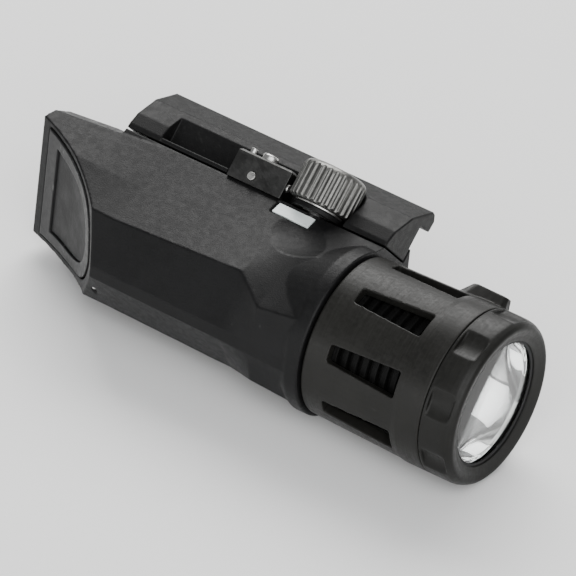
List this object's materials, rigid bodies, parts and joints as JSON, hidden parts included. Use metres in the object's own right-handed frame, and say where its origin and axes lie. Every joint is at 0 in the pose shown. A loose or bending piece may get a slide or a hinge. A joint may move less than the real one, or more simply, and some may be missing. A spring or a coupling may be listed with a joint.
{
  "type": "rail-mounted light",
  "caption": "Compact single-cell light with a faceted black body, twist head, slanted tail button and an integral rail clamp closed by a knurled thumb knob.",
  "frame": {"origin": "middle of the clamp on the deck that the accessory rail sits on", "axes": "+X along the beam, +Y square to the deck towards the rail, +Z towards the thumb knob side"},
  "size_m": [0.0932, 0.0385, 0.0351],
  "materials": {
    "housing_polymer": "fine moulded texture, fibre reinforced, satin worn edges",
    "button_polymer": "fine moulded texture",
    "soft_pad": "soft matt elastomer",
    "head_metal": "hard anodised, satin, slightly olive dark grey",
    "black_anodised": "black anodised, turned",
    "knob_metal": "grey anodised, knurled, worn ridges",
    "steel": "plated, bright",
    "lug_metal": "blackened steel, machined",
    "white_plate": "plain white, smooth",
    "clear_lens": "clear, coated",
    "black_rubber": "matt",
    "mirror_finish": "vapour deposited smooth reflector",
    "led_phosphor": "silicone dome over phosphor",
    "board_metal": "white solder mask on a metal core",
    "circuit_board": "green solder mask",
    "brass": "turned, plated",
    "cell_wrap": "plain shrink wrap, no print",
    "carrier_plastic": "moulded",
    "plunger_plastic": "moulded"
  },
  "bodies": {
    "housing": {"main_housing": "housing_polymer", "battery_cell": "cell_wrap", "contact_sleeve": "brass", "tail_contact_spring": "steel", "switch_carrier": "carrier_plastic", "switch_board": "circuit_board", "tact_switch": "carrier_plastic", "button_seal": "black_rubber", "button_return_spring": "steel", "button_pivot_pin": "steel", "retaining_ring": "steel", "jaw_guide_pins": "steel", "jaw_springs": "steel", "clamp_insert": "brass", "detent_block": "knob_metal", "detent_screw": "steel", "detent_dowels": "steel", "detent_plunger": "steel", "index_plate": "white_plate", "recoil_lug": "lug_metal", "recoil_lug_screws": "steel"},
    "head": {"head_shell": "head_metal", "heat_sink": "black_anodised", "neck_ring": "black_anodised", "neck_o_ring": "black_rubber", "bezel_ring": "head_metal", "lens": "clear_lens", "lens_gasket": "black_rubber", "reflector": "mirror_finish", "led_board": "board_metal", "led_emitter": "led_phosphor", "driver_board": "circuit_board", "positive_contact": "brass"},
    "button": {"tail_button": "button_polymer", "button_pad": "soft_pad"},
    "plunger": {"switch_plunger": "plunger_plastic"},
    "jaw": {"moving_jaw": "housing_polymer", "jaw_washer": "steel"},
    "knob": {"thumb_knob": "knob_metal", "clamp_screw": "steel", "screw_clip": "steel"}
  },
  "joints": [
    {"name": "head_twist", "type": "hinge", "parent": "housing", "child": "head", "pos_m": [0.03, -0.0172, 0], "axis": [1, 0, 0], "range_deg": [0, 90]},
    {"name": "button_press", "type": "hinge", "parent": "housing", "child": "button", "pos_m": [-0.01616, -0.02803, 0], "axis": [0, 0, -1], "range_deg": [0, 3], "stiffness_Nm_per_rad": 0.5, "springref_deg": -2.86, "deforming": ["button_return_spring"]},
    {"name": "plunger_slide", "type": "slide", "parent": "housing", "child": "plunger", "axis": [1, 0, 0], "range_m": [0, 0.0006]},
    {"name": "jaw_open", "type": "slide", "parent": "housing", "child": "jaw", "axis": [0, 0.7071, 0.7071], "range_m": [0, 0.0028], "deforming": ["jaw_springs"]},
    {"name": "knob_turn", "type": "hinge", "parent": "jaw", "child": "knob", "pos_m": [0.0112, -0.00617, 0.01245], "axis": [0, 0.7071, 0.7071], "range_deg": [0, 2016]}
  ],
  "couplings": [
    {"joint": "plunger_slide", "follows": "button_press", "m_per_rad": 0.01082},
    {"joint": "knob_turn", "follows": "jaw_open", "rad_per_m": 12566}
  ]
}
